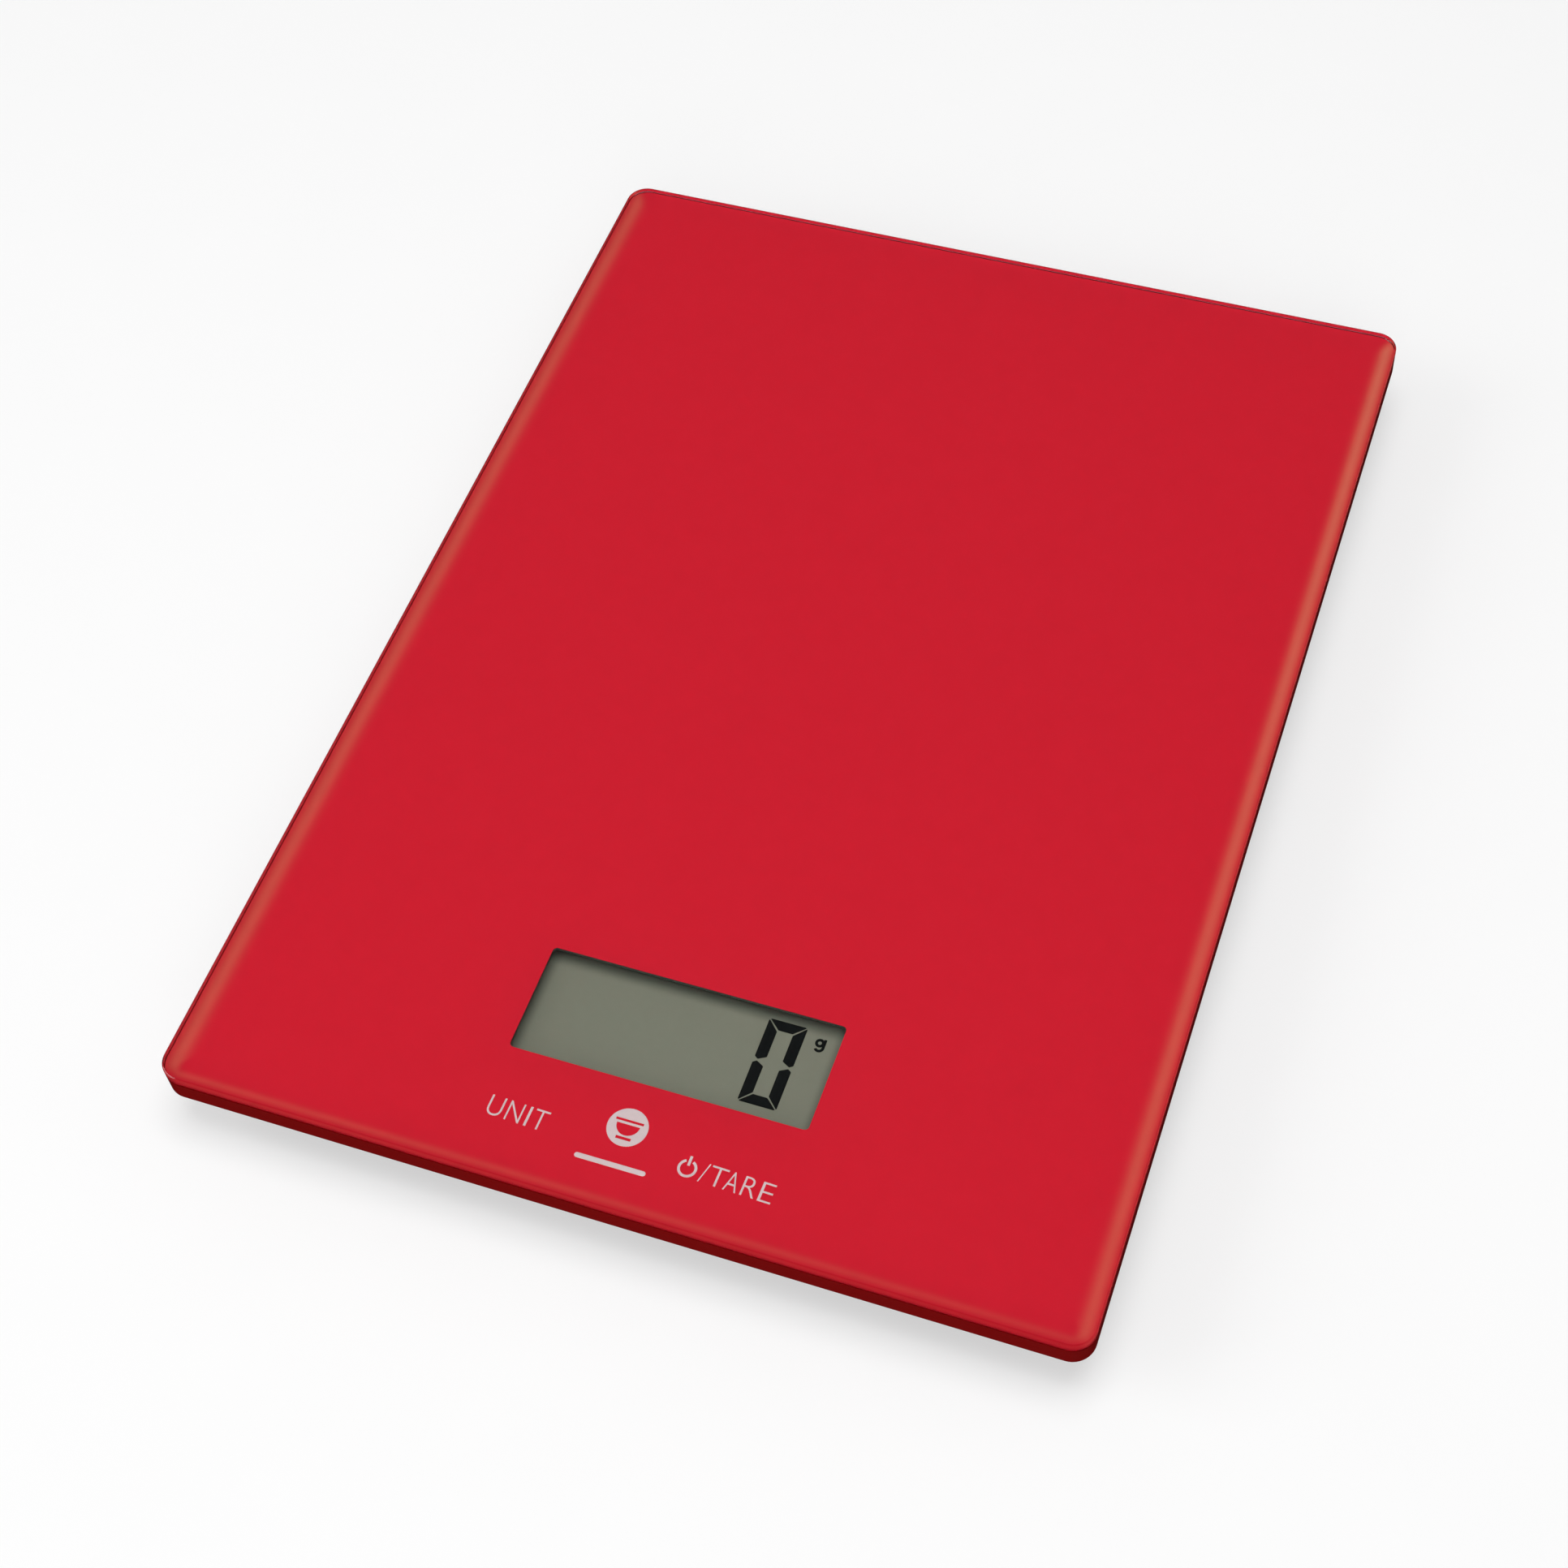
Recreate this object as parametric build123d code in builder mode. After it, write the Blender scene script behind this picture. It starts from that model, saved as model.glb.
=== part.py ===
from build123d import *
import os
from math import pi, radians, tan

# Slim glass kitchen scale. It stands on z = 0, +Z is up, the display is at the front (-Y).
# All lengths are in millimetres.

# Driving dimensions
scale_width = 160.0
scale_depth = 220.0
scale_height = 17.0
plan_corner_radius = 4.0
glass_thickness = 2.0
print_thickness = 0.15
tray_height = 4.1
tray_plate = 1.5
tray_skirt = 2.2
base_inset = 5.0
base_bottom = 3.5
base_wall = 1.8
foot_play = 0.5

# Heights that follow from them
glass_bottom = scale_height - glass_thickness
tray_top = glass_bottom - print_thickness
tray_bottom = tray_top - tray_height
plate_underside = tray_top - tray_plate
floor_top = base_bottom + base_wall
board_bottom = 8.0
board_thickness = 1.6
board_top = board_bottom + board_thickness

# Places in the plan
window_width = 52.4
window_depth = 20.0
window_centre = (0.4, -76.9)
display_y = -77.2
unit_key = (-19.6, -97.9)
tare_key = (17.0, -98.8)
foot_x = 57.0
foot_y = 86.0
battery_y = 50.0
base_screw_places = [(x, y) for x in (-66, 66) for y in (-52, 0, 52)] + [(0, 97)]
board_screw_places = [(x, y) for x in (-33.2, 33.2) for y in (-99.5, -59.5)]
corners = {
    "front_left": (-1, -1),
    "front_right": (1, -1),
    "back_left": (-1, 1),
    "back_right": (1, 1),
}

os.makedirs("parts", exist_ok=True)

# Glass platform: one toughened sheet with a fine arris on every edge
arris = 0.3
with BuildPart() as glass_platform:
    with BuildSketch(Plane.XY.offset(glass_bottom)):
        RectangleRounded(scale_width, scale_depth, plan_corner_radius)
    extrude(amount=glass_thickness)
    rims = glass_platform.edges().group_by(Axis.Z)
    chamfer(rims[0] + rims[-1], arris)
glass_platform.part.label = "glass_platform"
export_step(glass_platform.part, "parts/glass_platform.step")

# Colour print: the coloured ink film on the back of the glass, open at the display
print_margin = 0.3
with BuildPart() as colour_print:
    with BuildSketch(Plane.XY.offset(tray_top)):
        RectangleRounded(
            scale_width - 2 * print_margin,
            scale_depth - 2 * print_margin,
            plan_corner_radius - print_margin,
        )
        with Locations(window_centre):
            RectangleRounded(window_width, window_depth, 0.8, mode=Mode.SUBTRACT)
    extrude(amount=print_thickness)
colour_print.part.label = "colour_print"
export_step(colour_print.part, "parts/colour_print.step")

# Bonding tape: an outer loop, a loop round the display and two cross strips
tape_thickness = 0.3
tape_gap = 0.1
loop_width = 4.0
loop_inset = 2.5
display_loop = (62.0, 30.0)
display_loop_hole = (55.0, 23.0)
strip_size = (120.0, 8.0)
strip_rows = (-20.0, 40.0)


def tape_outline(grow):
    """Adds the tape's outline to the open sketch, grown by this much on every side."""
    outer_width = scale_width - 2 * loop_inset + 2 * grow
    outer_depth = scale_depth - 2 * loop_inset + 2 * grow
    RectangleRounded(outer_width, outer_depth, 2.5)
    step = 2 * loop_width + 4 * grow
    RectangleRounded(outer_width - step, outer_depth - step, 1.0, mode=Mode.SUBTRACT)
    with Locations(window_centre):
        Rectangle(display_loop[0] + 2 * grow, display_loop[1] + 2 * grow)
        Rectangle(
            display_loop_hole[0] - 2 * grow, display_loop_hole[1] - 2 * grow, mode=Mode.SUBTRACT
        )
    with Locations(*[(0, y) for y in strip_rows]):
        Rectangle(strip_size[0] + 2 * grow, strip_size[1] + 2 * grow)


with BuildPart() as glass_tape:
    with BuildSketch(Plane.XY.offset(tray_top - tape_thickness)):
        tape_outline(0)
    extrude(amount=tape_thickness)
glass_tape.part.label = "glass_tape"
export_step(glass_tape.part, "parts/glass_tape.step")

# Platform tray: the moulded shell that the glass is bonded to, flush with its edge
tray_edge_round = 0.3
rib_height = 1.5
rib_width = 1.4
tray_window = (53.4, 21.0)
key_hole_radius = 3.8
screw_boss_radius = 3.3
boss_joint = 6.9
pilot_radius = 1.35
pilot_depth = 5.9
cell_pad_radius = 2.2
cell_pad_reach = 12.0
cell_bottom = 8.0
cell_thickness = 1.5
board_post_radius = 2.2
board_pilot_radius = 0.9
with BuildPart() as platform_tray:
    with BuildSketch(Plane.XY.offset(tray_bottom)):
        RectangleRounded(scale_width, scale_depth, plan_corner_radius)
    extrude(amount=tray_height)
    fillet(platform_tray.edges().group_by(Axis.Z)[0], tray_edge_round)
    with BuildSketch(Plane.XY.offset(tray_bottom)):
        RectangleRounded(
            scale_width - 2 * tray_skirt,
            scale_depth - 2 * tray_skirt,
            plan_corner_radius - tray_skirt,
        )
    extrude(amount=tray_height - tray_plate, mode=Mode.SUBTRACT)
    with BuildSketch(Plane.XY.offset(plate_underside - rib_height)):
        with Locations(*[(0, y) for y in (-45, -5, 35, 75)]):
            Rectangle(140, rib_width)
        with Locations(*[(x, 25) for x in (-50, -25, 0, 25, 50)]):
            Rectangle(rib_width, 150)
    extrude(amount=rib_height)
    with BuildSketch(Plane.XY.offset(boss_joint)):
        with Locations(*base_screw_places):
            Circle(screw_boss_radius)
    extrude(amount=plate_underside - boss_joint)
    with BuildSketch(Plane.XY.offset(boss_joint)):
        with Locations(*base_screw_places):
            Circle(pilot_radius)
    extrude(amount=pilot_depth, mode=Mode.SUBTRACT)
    with BuildSketch(Plane.XY.offset(cell_bottom + cell_thickness)):
        for side_x, side_y in corners.values():
            with Locations((side_x * foot_x, side_y * foot_y)):
                with GridLocations(2 * cell_pad_reach, 2 * cell_pad_reach, 2, 2):
                    Circle(cell_pad_radius)
    extrude(amount=plate_underside - cell_bottom - cell_thickness)
    with BuildSketch(Plane.XY.offset(board_top)):
        with Locations(*board_screw_places):
            Circle(board_post_radius)
            Circle(board_pilot_radius, mode=Mode.SUBTRACT)
    extrude(amount=plate_underside - board_top)
    with BuildSketch(Plane.XY.offset(plate_underside)):
        with Locations(window_centre):
            RectangleRounded(*tray_window, 1.0)
        with Locations(unit_key, tare_key):
            Circle(key_hole_radius)
    extrude(amount=tray_plate, mode=Mode.SUBTRACT)
    with BuildSketch(Plane.XY.offset(tray_top - tape_thickness)):
        tape_outline(tape_gap)
    extrude(amount=tape_thickness, mode=Mode.SUBTRACT)
platform_tray.part.label = "platform_tray"
export_step(platform_tray.part, "parts/platform_tray.step")

# Battery bayonet sizes, shared by the base cover and the cap
cap_disc_radius = 14.8
cap_neck_radius = 11.9
cap_lug_radius = 13.7
cap_lug_width = 8.0
cap_recess_depth = 1.0
cap_gap = 0.25
cap_open_angle = -45.0
well_inner_radius = 14.3
well_wall = 1.7
well_top = 9.7

# Base cover: the moulded lower shell with its flange, screw wells, cell seats and battery well
base_width = scale_width - 2 * base_inset
base_depth = scale_depth - 2 * base_inset
base_radius = 8.0
base_top = plate_underside - 0.15
flange_play = 0.2
flange_bottom = tray_bottom + 0.35
flange_width = scale_width - 2 * tray_skirt - 2 * flange_play
flange_depth = scale_depth - 2 * tray_skirt - 2 * flange_play
screw_well_radius = 3.0
screw_well_depth = 2.0
screw_hole_radius = 1.5
foot_hole_radius = 5.0
foot_ring_radius = 7.2
foot_ring_height = 0.9
lead_radius = 0.6
lead_height = 7.35
clip_radius = 0.8
clip_spread = 1.6
clip_x = 25.0
clip_y = 20.0
plate_recess = (64.0, 36.0)
plate_recess_y = -28.0
with BuildPart() as base_cover:
    with BuildSketch(Plane.XY.offset(base_bottom)):
        RectangleRounded(base_width, base_depth, base_radius)
    extrude(amount=base_top - base_bottom)
    fillet(base_cover.edges().group_by(Axis.Z)[0], 2.2)
    with BuildSketch(Plane.XY.offset(floor_top)):
        RectangleRounded(
            base_width - 2 * base_wall, base_depth - 2 * base_wall, base_radius - base_wall
        )
    extrude(amount=base_top - floor_top, mode=Mode.SUBTRACT)
    with BuildSketch(Plane.XY.offset(flange_bottom)):
        RectangleRounded(flange_width, flange_depth, 1.6)
        RectangleRounded(
            base_width - 2 * base_wall,
            base_depth - 2 * base_wall,
            base_radius - base_wall,
            mode=Mode.SUBTRACT,
        )
    extrude(amount=base_top - flange_bottom)
    with BuildSketch(Plane.XY.offset(floor_top)):
        with Locations(*base_screw_places):
            Circle(screw_boss_radius + 0.9)
    extrude(amount=boss_joint - floor_top)
    with BuildSketch(Plane.XY.offset(floor_top)):
        for side_x, side_y in corners.values():
            with Locations((side_x * foot_x, side_y * foot_y)):
                with GridLocations(2 * cell_pad_reach, 2 * cell_pad_reach, 2, 2):
                    Circle(cell_pad_radius)
    extrude(amount=cell_bottom - floor_top)
    with BuildSketch(Plane.XY.offset(floor_top)):
        for side_x, side_y in corners.values():
            with Locations((side_x * foot_x, side_y * foot_y)):
                Circle(foot_ring_radius)
    extrude(amount=foot_ring_height)
    with BuildSketch(Plane.XY.offset(floor_top)):
        with Locations((0, battery_y)):
            Circle(well_inner_radius + well_wall)
            Circle(well_inner_radius, mode=Mode.SUBTRACT)
    extrude(amount=well_top - floor_top)
    with BuildSketch(Plane.XY.offset(floor_top)):
        for side_x in (-1, 1):
            with Locations((side_x * clip_x - clip_spread, clip_y), (side_x * clip_x + clip_spread, clip_y)):
                Circle(clip_radius)
    extrude(amount=cell_bottom - floor_top)
    with BuildSketch(Plane.XY.offset(base_bottom)):
        with Locations(*base_screw_places):
            Circle(screw_hole_radius)
    extrude(amount=boss_joint - base_bottom, mode=Mode.SUBTRACT)
    with BuildSketch(Plane.XY.offset(base_bottom)):
        with Locations(*base_screw_places):
            Circle(screw_well_radius)
    extrude(amount=screw_well_depth, mode=Mode.SUBTRACT)
    with BuildSketch(Plane.XY.offset(base_bottom)):
        for side_x, side_y in corners.values():
            with Locations((side_x * foot_x, side_y * foot_y)):
                Circle(foot_hole_radius)
    extrude(amount=floor_top + foot_ring_height - base_bottom, mode=Mode.SUBTRACT)
    with BuildSketch(Plane.XY.offset(floor_top)):
        for side_x, side_y in corners.values():
            with Locations((side_x * foot_x, side_y * foot_y)):
                Circle(foot_hole_radius + 1.1)
    extrude(amount=foot_ring_height, mode=Mode.SUBTRACT)
    with BuildSketch(Plane.XY.offset(base_bottom)):
        with Locations((0, battery_y)):
            Circle(cap_disc_radius + cap_gap)
    extrude(amount=cap_recess_depth, mode=Mode.SUBTRACT)
    with BuildSketch(Plane.XY.offset(base_bottom)) as cap_opening:
        with Locations(Location((0, battery_y), cap_open_angle)):
            Rectangle(2 * cap_lug_radius + 4 * cap_gap, cap_lug_width + 4 * cap_gap)
        with Locations((0, battery_y)):
            Circle(cap_lug_radius + cap_gap, mode=Mode.INTERSECT)
            Circle(cap_neck_radius + cap_gap)
    extrude(amount=base_wall, mode=Mode.SUBTRACT)
    with BuildSketch(Plane.XY.offset(base_bottom)):
        with Locations((0, plate_recess_y)):
            RectangleRounded(*plate_recess, 2.5)
    extrude(amount=0.3, mode=Mode.SUBTRACT)
    with BuildSketch(Plane.XY.offset(base_bottom)):
        with Locations((0, battery_y - 18.2)):
            RegularPolygon(1.7, 3, rotation=90)
        with Locations(Location((12.9, battery_y - 12.9), -45)):
            with Locations((5.3, 0)):
                Circle(1.3)
    extrude(amount=0.4, mode=Mode.SUBTRACT)
base_cover.part.label = "base_cover"
export_step(base_cover.part, "parts/base_cover.step")

# Base screws: pan-head screws with a cross recess, up through the base into the tray's bosses
screw_head_radius = 2.5
screw_head_height = 1.5
screw_shank_radius = 1.25
screw_shank_length = 7.0
screw_head_bottom = base_bottom + screw_well_depth - screw_head_height
with BuildPart() as base_screws:
    with BuildSketch(Plane.XY.offset(screw_head_bottom)):
        with Locations(*base_screw_places):
            Circle(screw_head_radius)
    extrude(amount=screw_head_height)
    fillet(base_screws.edges().group_by(Axis.Z)[0], 0.5)
    with BuildSketch(Plane.XY.offset(screw_head_bottom + screw_head_height)):
        with Locations(*base_screw_places):
            Circle(screw_shank_radius)
    extrude(amount=screw_shank_length)
    with BuildSketch(Plane.XY.offset(screw_head_bottom)):
        with Locations(*base_screw_places):
            Rectangle(2.6, 0.6, rotation=45)
            Rectangle(2.6, 0.6, rotation=-45)
    extrude(amount=1.0, mode=Mode.SUBTRACT)
base_screws.part.label = "base_screws"
export_step(base_screws.part, "parts/base_screws.step")

# Display: foam gasket, front polariser, two glasses, rear reflector, holder, contact strip
gasket_thickness = 0.6
polariser_thickness = 0.2
display_glass_thickness = 1.1
front_glass_width = 57.4
front_glass_depth = 29.0
rear_glass_depth = 25.5
display_front_y = display_y - 12.5
display_top = plate_underside - gasket_thickness
rear_glass_top = display_top - display_glass_thickness
reflector_top = rear_glass_top - display_glass_thickness

with BuildPart() as display_gasket:
    with BuildSketch(Plane.XY.offset(display_top)):
        with Locations((0, display_y)):
            RectangleRounded(57.0, 25.0, 1.0)
            RectangleRounded(54.8, 22.6, 0.8, mode=Mode.SUBTRACT)
    extrude(amount=gasket_thickness)
display_gasket.part.label = "display_gasket"
export_step(display_gasket.part, "parts/display_gasket.step")

with BuildPart() as display_polariser:
    with BuildSketch(Plane.XY.offset(display_top)):
        with Locations((0, display_y)):
            Rectangle(54.4, 22.0)
    extrude(amount=polariser_thickness)
display_polariser.part.label = "display_polariser"
export_step(display_polariser.part, "parts/display_polariser.step")

with BuildPart() as display_front_glass:
    with BuildSketch(Plane.XY.offset(rear_glass_top)):
        with Locations((0, display_front_y + front_glass_depth / 2)):
            Rectangle(front_glass_width, front_glass_depth)
    extrude(amount=display_glass_thickness)
display_front_glass.part.label = "display_front_glass"
export_step(display_front_glass.part, "parts/display_front_glass.step")

with BuildPart() as display_rear_glass:
    with BuildSketch(Plane.XY.offset(reflector_top)):
        with Locations((0, display_front_y + rear_glass_depth / 2)):
            Rectangle(front_glass_width, rear_glass_depth)
    extrude(amount=display_glass_thickness)
display_rear_glass.part.label = "display_rear_glass"
export_step(display_rear_glass.part, "parts/display_rear_glass.step")

with BuildPart() as display_reflector:
    with BuildSketch(Plane.XY.offset(reflector_top - polariser_thickness)):
        with Locations((0, display_front_y + rear_glass_depth / 2)):
            Rectangle(front_glass_width - 2.4, rear_glass_depth - 2.0)
    extrude(amount=polariser_thickness)
display_reflector.part.label = "display_reflector"
export_step(display_reflector.part, "parts/display_reflector.step")

holder_wall = 1.4
holder_play = 0.1
holder_ledge = 2.2
holder_top = display_top - 0.1
holder_ledge_top = reflector_top - polariser_thickness
holder_centre_y = display_front_y + front_glass_depth / 2
with BuildPart() as display_holder:
    with BuildSketch(Plane.XY.offset(board_top)):
        with Locations((0, holder_centre_y)):
            RectangleRounded(
                front_glass_width + 2 * holder_play + 2 * holder_wall,
                front_glass_depth + 2 * holder_play + 2 * holder_wall,
                1.2,
            )
    extrude(amount=holder_top - board_top)
    with BuildSketch(Plane.XY.offset(holder_ledge_top)):
        with Locations((0, holder_centre_y)):
            Rectangle(front_glass_width + 2 * holder_play, front_glass_depth + 2 * holder_play)
    extrude(amount=holder_top - holder_ledge_top, mode=Mode.SUBTRACT)
    with BuildSketch(Plane.XY.offset(board_top)):
        with Locations((0, holder_centre_y + holder_ledge / 2)):
            Rectangle(
                front_glass_width - 2 * holder_ledge,
                front_glass_depth + 2 * holder_play - holder_ledge,
            )
    extrude(amount=holder_ledge_top - board_top, mode=Mode.SUBTRACT)
display_holder.part.label = "display_holder"
export_step(display_holder.part, "parts/display_holder.step")

strip_depth = 2.0
with BuildPart() as contact_strip:
    with BuildSketch(Plane.XY.offset(board_top)):
        with Locations((0, display_front_y + front_glass_depth - 1.9)):
            Rectangle(52.0, strip_depth)
    extrude(amount=rear_glass_top - board_top)
contact_strip.part.label = "contact_strip"
export_step(contact_strip.part, "parts/contact_strip.step")

# Circuit board with its bonded chip, clock crystal, small components and screws
board_width = 74.0
board_front = -102.8
board_back = -56.0
with BuildPart() as circuit_board:
    with BuildSketch(Plane.XY.offset(board_bottom)):
        with Locations((0, (board_front + board_back) / 2)):
            RectangleRounded(board_width, board_back - board_front, 1.5)
        with Locations(*board_screw_places):
            Circle(1.2, mode=Mode.SUBTRACT)
    extrude(amount=board_thickness)
circuit_board.part.label = "circuit_board"
export_step(circuit_board.part, "parts/circuit_board.step")

with BuildPart() as chip_blob:
    with BuildSketch(Plane.XY.offset(board_bottom - 1.2)):
        with Locations((-6, -82)):
            Circle(5.5)
    extrude(amount=1.2)
    fillet(chip_blob.edges().group_by(Axis.Z)[0], 1.0)
chip_blob.part.label = "chip_blob"
export_step(chip_blob.part, "parts/chip_blob.step")

with BuildPart() as clock_crystal:
    with BuildSketch(Plane.XY.offset(board_bottom - 1.0)):
        with Locations((8, -82)):
            RectangleRounded(5.0, 3.2, 0.6)
    extrude(amount=1.0)
clock_crystal.part.label = "clock_crystal"
export_step(clock_crystal.part, "parts/clock_crystal.step")

with BuildPart() as small_components:
    with BuildSketch(Plane.XY.offset(board_bottom - 0.6)):
        with Locations((16, -84)):
            with GridLocations(4.0, 4.0, 2, 4):
                Rectangle(2.0, 1.2)
        with Locations((-22, -84)):
            with GridLocations(4.0, 4.0, 3, 3):
                Rectangle(1.6, 0.8)
    extrude(amount=0.6)
small_components.part.label = "small_components"
export_step(small_components.part, "parts/small_components.step")

with BuildPart() as board_screws:
    with BuildSketch(Plane.XY.offset(board_bottom - 1.3)):
        with Locations(*board_screw_places):
            Circle(1.9)
    extrude(amount=1.3)
    fillet(board_screws.edges().group_by(Axis.Z)[0], 0.4)
    with BuildSketch(Plane.XY.offset(board_bottom)):
        with Locations(*board_screw_places):
            Circle(0.8)
    extrude(amount=4.6)
    with BuildSketch(Plane.XY.offset(board_bottom - 1.3)):
        with Locations(*board_screw_places):
            Rectangle(2.0, 0.5, rotation=45)
            Rectangle(2.0, 0.5, rotation=-45)
    extrude(amount=0.8, mode=Mode.SUBTRACT)
board_screws.part.label = "board_screws"
export_step(board_screws.part, "parts/board_screws.step")

# Touch springs: soft coils that carry each touch key's signal from the glass to the board
coil_wire_radius = 0.25
coil_radius = 3.0
coil_pitch = 1.15
coil_height = tray_top - board_top - 2 * coil_wire_radius
for key_name, key_place in (("unit", unit_key), ("tare", tare_key)):
    with BuildPart() as touch_spring:
        with BuildLine(Plane.XY.offset(board_top + coil_wire_radius)) as coil:
            Helix(coil_pitch, coil_height, coil_radius, center=(*key_place, 0))
        with BuildSketch(Plane(coil.line @ 0, z_dir=coil.line % 0)):
            Circle(coil_wire_radius)
        sweep(is_frenet=True)
    touch_spring.part.label = f"{key_name}_touch_spring"
    export_step(touch_spring.part, f"parts/{key_name}_touch_spring.step")

# Load cells: slotted steel plates, each with a gauge on the root of its tongue
cell_size = 28.0
cell_slot = 20.0
tongue_length = 16.0
tongue_width = 11.0
gauge_length = 5.0
gauge_width = 6.0
gauge_thickness = 1.4
gauge_reach = 9.4
for corner, (side_x, side_y) in corners.items():
    centre = (side_x * foot_x, side_y * foot_y)
    with BuildPart() as load_cell:
        with BuildSketch(Plane.XY.offset(cell_bottom)):
            with Locations(centre):
                RectangleRounded(cell_size, cell_size, 3.0)
                Rectangle(cell_slot, cell_slot, mode=Mode.SUBTRACT)
                with Locations((-side_x * (cell_slot - tongue_length) / 2, 0)):
                    Rectangle(tongue_length, tongue_width)
        extrude(amount=cell_thickness)
    load_cell.part.label = f"load_cell_{corner}"
    export_step(load_cell.part, f"parts/load_cell_{corner}.step")

    with BuildPart() as strain_gauge:
        with BuildSketch(Plane.XY.offset(cell_bottom - gauge_thickness)):
            with Locations((centre[0] - side_x * gauge_reach, centre[1])):
                RectangleRounded(gauge_length, gauge_width, 0.8)
        extrude(amount=gauge_thickness)
        fillet(strain_gauge.edges().group_by(Axis.Z)[0], 0.4)
    strain_gauge.part.label = f"strain_gauge_{corner}"
    export_step(strain_gauge.part, f"parts/strain_gauge_{corner}.step")

# Leads: sleeved wires from the gauges and the battery contacts to the circuit board


def bend_radii(points):
    """Radius of the arc at each inner point: 0.45 of the shorter run over tan(half the turn)."""
    radii = []
    for before, here, after in zip(points, points[1:], points[2:]):
        arriving = Vector(*here) - Vector(*before)
        leaving = Vector(*after) - Vector(*here)
        turn = arriving.get_angle(leaving)
        shorter = min(arriving.length, leaving.length)
        radii.append(0.45 * shorter / tan(radians(turn) / 2))
    return radii


def make_lead(name, points):
    """Writes one lead: a tube along straight runs that tangent arcs join."""
    route = [(x, y, lead_height) for x, y in points]
    radii = bend_radii(route)
    with BuildPart() as lead:
        with BuildLine() as path:
            FilletPolyline(*route, radius=radii)
        with BuildSketch(Plane(path.line @ 0, z_dir=path.line % 0)):
            Circle(lead_radius)
        sweep()
    lead.part.label = name
    export_step(lead.part, f"parts/{name}.step")
    length = sum(edge.length for edge in path.edges())
    section = pi * lead_radius**2
    print(f"{name}: length {length:.1f}, volume over section {lead.part.volume / section:.1f}")
    print("  bend radii", [round(radius, 1) for radius in radii])


gauge_edge = foot_x - gauge_reach - gauge_length / 2
for side_name, side_x in (("left", -1), ("right", 1)):
    front_route = [(gauge_edge, -foot_y), (41, -foot_y), (36.8, -84.2), (32, -81)]
    make_lead(f"load_cell_lead_front_{side_name}", [(side_x * x, y) for x, y in front_route])
    back_route = [
        (gauge_edge, foot_y),
        (39.6, foot_y),
        (33, 81.6),
        (28.6, 69),
        (25.9, 46),
        (25, 20),
        (24.2, -8),
        (24.6, -36),
        (23.4, -60),
    ]
    make_lead(f"load_cell_lead_back_{side_name}", [(side_x * x, y) for x, y in back_route])

# Battery: coin cell, its moulded holder, two spring contacts and their leads
cell_radius = 10.0
cell_height = 3.2
coin_bottom = 6.4
coin_top = coin_bottom + cell_height
with BuildPart() as coin_cell:
    with BuildSketch(Plane.XY.offset(coin_bottom)):
        with Locations((0, battery_y)):
            Circle(cell_radius)
    extrude(amount=cell_height - 0.3)
    fillet(coin_cell.edges().group_by(Axis.Z)[0], 0.35)
    with BuildSketch(Plane.XY.offset(coin_top - 0.3)):
        with Locations((0, battery_y)):
            Circle(cell_radius - 1.1)
    extrude(amount=0.3)
coin_cell.part.label = "coin_cell"
export_step(coin_cell.part, "parts/coin_cell.step")

holder_bottom = 6.6
contact_bottom = 9.8
contact_gauge = 0.3
leg_reach = 16.5
positive_width = 5.0
with BuildPart() as battery_holder:
    with BuildSketch(Plane.XY.offset(holder_bottom)):
        with Locations((0, battery_y)):
            Circle(well_inner_radius - 0.1)
            Circle(cell_radius + 0.3, mode=Mode.SUBTRACT)
        with Locations((0, battery_y - 12)):
            Rectangle(positive_width + 0.6, 5.4, mode=Mode.SUBTRACT)
    extrude(amount=contact_bottom - holder_bottom)
battery_holder.part.label = "battery_holder"
export_step(battery_holder.part, "parts/battery_holder.step")

with BuildPart() as battery_contact_positive:
    with BuildSketch(Plane.XY.offset(contact_bottom)):
        with Locations((0, battery_y - (cell_radius + leg_reach) / 2)):
            Rectangle(positive_width, leg_reach - cell_radius)
    extrude(amount=contact_gauge)
    with BuildSketch(Plane.XY.offset(holder_bottom + 0.2)):
        with Locations(
            (0, battery_y - cell_radius - contact_gauge / 2),
            (0, battery_y - leg_reach + contact_gauge / 2),
        ):
            Rectangle(positive_width, contact_gauge)
    extrude(amount=contact_bottom - holder_bottom - 0.2)
battery_contact_positive.part.label = "battery_contact_positive"
export_step(battery_contact_positive.part, "parts/battery_contact_positive.step")

negative_x = -6.5
negative_width = 4.0
with BuildPart() as battery_contact_negative:
    with BuildSketch(Plane.XY.offset(contact_bottom)):
        with Locations((negative_x, battery_y + (3.0 - leg_reach) / 2)):
            Rectangle(negative_width, leg_reach + 3.0)
    extrude(amount=contact_gauge)
    with BuildSketch(Plane.XY.offset(coin_top)):
        with Locations((negative_x, battery_y)):
            Circle(1.2)
    extrude(amount=contact_bottom - coin_top)
    with BuildSketch(Plane.XY.offset(holder_bottom + 0.2)):
        with Locations((negative_x, battery_y - leg_reach + contact_gauge / 2)):
            Rectangle(negative_width, contact_gauge)
    extrude(amount=contact_bottom - holder_bottom - 0.2)
battery_contact_negative.part.label = "battery_contact_negative"
export_step(battery_contact_negative.part, "parts/battery_contact_negative.step")

make_lead(
    "battery_lead_positive",
    [(0, battery_y - leg_reach), (0.5, 18), (3, -4), (2.2, -32), (4, -60)],
)
make_lead(
    "battery_lead_negative",
    [(negative_x, battery_y - leg_reach), (-6.2, 18), (-4, -6), (-4.6, -34), (-3, -60)],
)

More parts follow.
